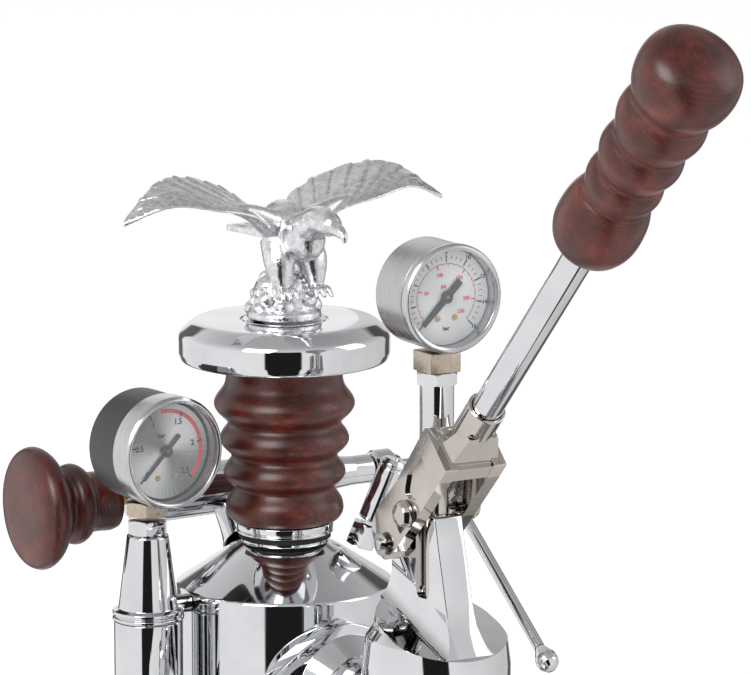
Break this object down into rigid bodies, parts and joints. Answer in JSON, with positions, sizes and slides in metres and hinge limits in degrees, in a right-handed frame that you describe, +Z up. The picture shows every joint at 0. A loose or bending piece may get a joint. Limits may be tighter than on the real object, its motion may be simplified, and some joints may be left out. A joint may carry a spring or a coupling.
{
  "type": "lever espresso machine",
  "caption": "Chrome lever espresso machine: base with drip tray, upright boiler with wood-grip cap and bird finial, sight glass, gauges, steam wand and piston group.",
  "frame": {"origin": "on the worktop under the centre of the base, level with the undersides of the feet", "axes": "+Z up; -Y is the front, where the group, lever and portafilter are; -X is the side of the sight glass and the steam knob, +X the side of the steam wand"},
  "size_m": [0.2069, 0.423, 0.5295],
  "materials": {
    "chrome": "mirror-polished chrome plate",
    "nickel": "satin nickel plate over cast brass",
    "brushed_steel": "fine brushed stainless steel",
    "brass": "machined brass",
    "wood": "dark stained turned hardwood, satin varnish",
    "black_plastic": "moulded black plastic",
    "rubber": "black rubber",
    "clear_glass": "clear glass",
    "dial_paint": "silver-white printed dial",
    "needle_paint": "black painted pointer"
  },
  "bodies": {
    "machine": {"base_shell": "chrome", "bottom_cover": "black_plastic", "foot_front_left": "rubber", "foot_rear_left": "rubber", "foot_front_right": "rubber", "foot_rear_right": "rubber", "power_inlet": "black_plastic", "switch_bezel": "black_plastic", "boiler": "chrome", "boiler_ring": "black_plastic", "heating_element": "brushed_steel", "sight_lower_fitting": "chrome", "sight_shield": "chrome", "sight_upper_fitting": "chrome", "sight_glass": "clear_glass", "boiler_gauge_stem": "brass", "boiler_gauge_bezel": "brushed_steel", "boiler_gauge_case": "black_plastic", "boiler_gauge_dial": "dial_paint", "boiler_gauge_lens": "clear_glass", "safety_valve_base": "chrome", "safety_valve_cap": "chrome", "steam_valve_body": "chrome", "wand_nut": "chrome", "group_body": "chrome", "flange_bolt_left": "chrome", "flange_bolt_right": "chrome", "shower_screen": "brushed_steel", "group_gasket": "rubber"},
    "rocker": {"power_rocker": "black_plastic"},
    "tray": {"drip_tray": "chrome"},
    "grid": {"drip_grid": "brushed_steel"},
    "cap_seal": {"cap_gasket": "rubber"},
    "cap": {"cap_skirt": "chrome", "cap_grip": "wood", "cap_disc": "chrome", "bird_finial": "chrome"},
    "boiler_needle": {"boiler_gauge_needle": "needle_paint"},
    "safety_disc": {"safety_poppet": "brass"},
    "knob": {"steam_spindle": "brass", "steam_knob": "wood"},
    "wand": {"steam_wand": "chrome", "wand_tip": "chrome"},
    "lever": {"fork": "nickel", "lever_rod": "chrome", "lever_grip": "wood", "fulcrum_pin": "nickel"},
    "piston": {"piston_rod": "nickel", "piston": "brass", "piston_seal": "rubber", "piston_pin": "nickel", "group_gauge_stem": "nickel", "group_gauge_case": "brushed_steel", "group_gauge_dial": "dial_paint", "group_gauge_lens": "clear_glass"},
    "group_needle": {"group_gauge_needle": "needle_paint"},
    "portafilter": {"portafilter_body": "chrome", "filter_basket": "brushed_steel", "spout": "chrome", "portafilter_handle": "wood"}
  },
  "joints": [
    {"name": "lever_swing", "type": "hinge", "parent": "machine", "child": "lever", "pos_m": [0, -0.0623, 0.3015], "axis": [1, 0, 0], "range_deg": [0, 70]},
    {"name": "piston_stroke", "type": "slide", "parent": "machine", "child": "piston", "axis": [0, 0, 1], "range_m": [-0.0272, 0]},
    {"name": "cap_lift", "type": "slide", "parent": "machine", "child": "cap_seal", "axis": [0, 0, 1], "range_m": [0, 0.0046]},
    {"name": "cap_turn", "type": "hinge", "parent": "cap_seal", "child": "cap", "pos_m": [0, 0.045, 0.285], "axis": [0, 0, 1], "range_deg": [0, 810]},
    {"name": "steam_knob_turn", "type": "hinge", "parent": "machine", "child": "knob", "pos_m": [0, 0.095, 0.2945], "axis": [1, 0, 0], "range_deg": [0, 540]},
    {"name": "wand_swing", "type": "hinge", "parent": "machine", "child": "wand", "pos_m": [0.08, 0.095, 0.2945], "axis": [1, 0, 0], "range_deg": [-20, 54]},
    {"name": "portafilter_turn", "type": "hinge", "parent": "machine", "child": "portafilter", "pos_m": [0, -0.08, 0.173], "axis": [0, 0, 1], "range_deg": [-45, 0]},
    {"name": "rocker_tilt", "type": "hinge", "parent": "machine", "child": "rocker", "pos_m": [0.0988, 0.062, 0.039], "axis": [0, 0, 1], "range_deg": [0, 12]},
    {"name": "tray_lift", "type": "slide", "parent": "machine", "child": "tray", "axis": [0, 0, 1], "range_m": [0, 0.03]},
    {"name": "grid_lift", "type": "slide", "parent": "tray", "child": "grid", "axis": [0, 0, 1], "range_m": [0, 0.022]},
    {"name": "boiler_needle_turn", "type": "hinge", "parent": "machine", "child": "boiler_needle", "pos_m": [-0.0649, 0.045, 0.3279], "axis": [-0.0872, 0.9962, 0], "range_deg": [0, 270], "stiffness_Nm_per_rad": 0.001, "springref_deg": -28.65},
    {"name": "group_needle_turn", "type": "hinge", "parent": "piston", "child": "group_needle", "pos_m": [0, -0.08, 0.4039], "axis": [0, 1, 0], "range_deg": [0, 270], "stiffness_Nm_per_rad": 0.001, "springref_deg": -28.65},
    {"name": "safety_lift", "type": "slide", "parent": "machine", "child": "safety_disc", "axis": [0.335, -0.1677, 0.9272], "range_m": [0, 0.0015], "stiffness_N_per_m": 300, "springref_m": -0.002}
  ],
  "couplings": [
    {"joint": "piston_stroke", "follows": "lever_swing", "m_per_rad": -0.022},
    {"joint": "cap_lift", "follows": "cap_turn", "m_per_rad": 0.00031831}
  ]
}
